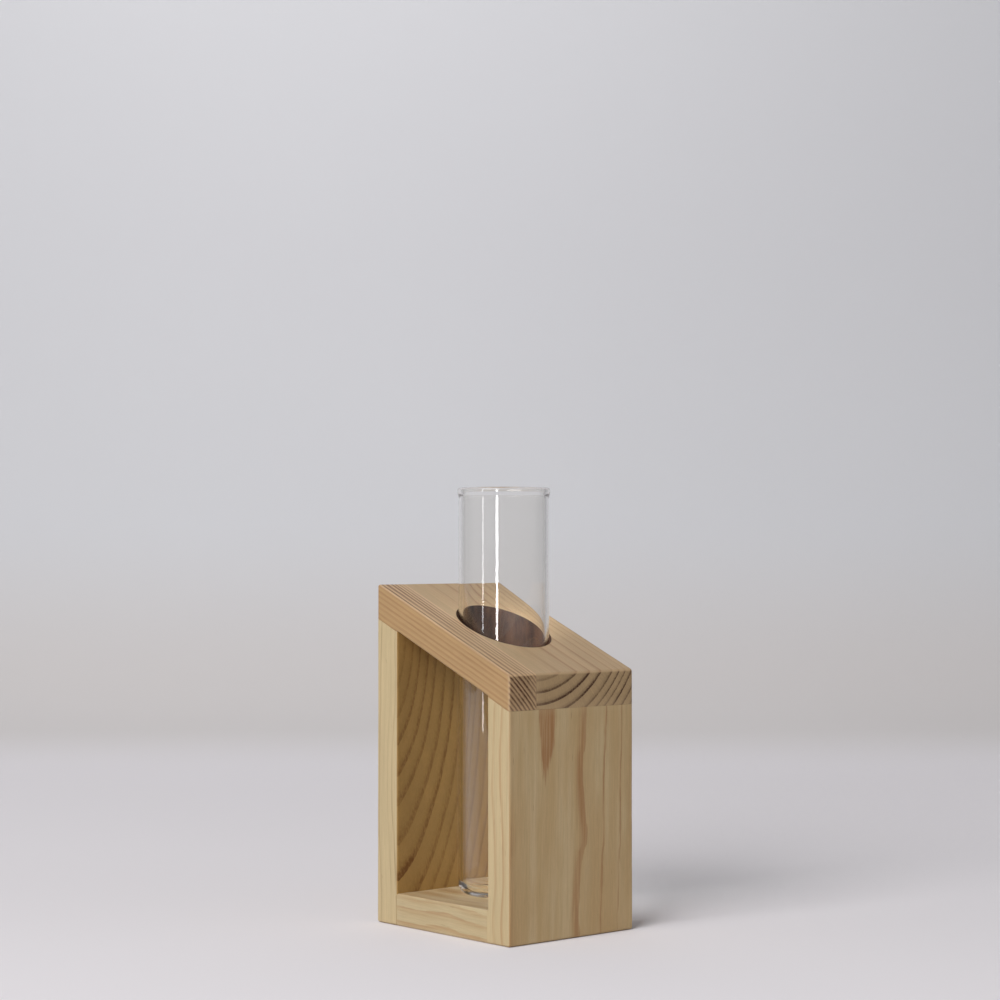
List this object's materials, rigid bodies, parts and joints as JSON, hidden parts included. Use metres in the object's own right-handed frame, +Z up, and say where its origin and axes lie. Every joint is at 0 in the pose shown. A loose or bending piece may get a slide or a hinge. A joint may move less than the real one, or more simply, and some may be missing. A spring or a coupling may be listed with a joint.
{
  "type": "test tube vase",
  "caption": "Small flower vase: a straight glass tube with a beaded mouth stands in an open pine frame whose sloping top holds it upright.",
  "frame": {"origin": "middle of the frame's footprint, on the surface that it stands on; the tube's axis passes through it", "axes": "+Z up along the tube, -Y towards the low front face, +X to the right as seen from the front, away from the narrow strip of the top"},
  "size_m": [0.072, 0.089, 0.1925],
  "materials": {
    "pine": "sanded, waxed",
    "pine_close_ringed": "sanded, waxed",
    "beech": "raw",
    "clear_glass": "clear, fire polished"
  },
  "bodies": {
    "frame": {"front_upright": "pine", "back_upright": "pine", "base_board": "pine", "top_board": "pine", "top_strip": "pine_close_ringed", "base_dowel_front_left": "beech", "base_dowel_front_right": "beech", "base_dowel_back_left": "beech", "base_dowel_back_right": "beech", "top_dowel_front_left": "beech", "top_dowel_front_right": "beech", "top_dowel_back_left": "beech", "top_dowel_back_right": "beech"},
    "tube": {"glass_tube": "clear_glass"}
  },
  "joints": [
    {"name": "tube_lift", "type": "slide", "parent": "frame", "child": "tube", "axis": [0, 0, 1], "range_m": [0, 0.15]}
  ]
}
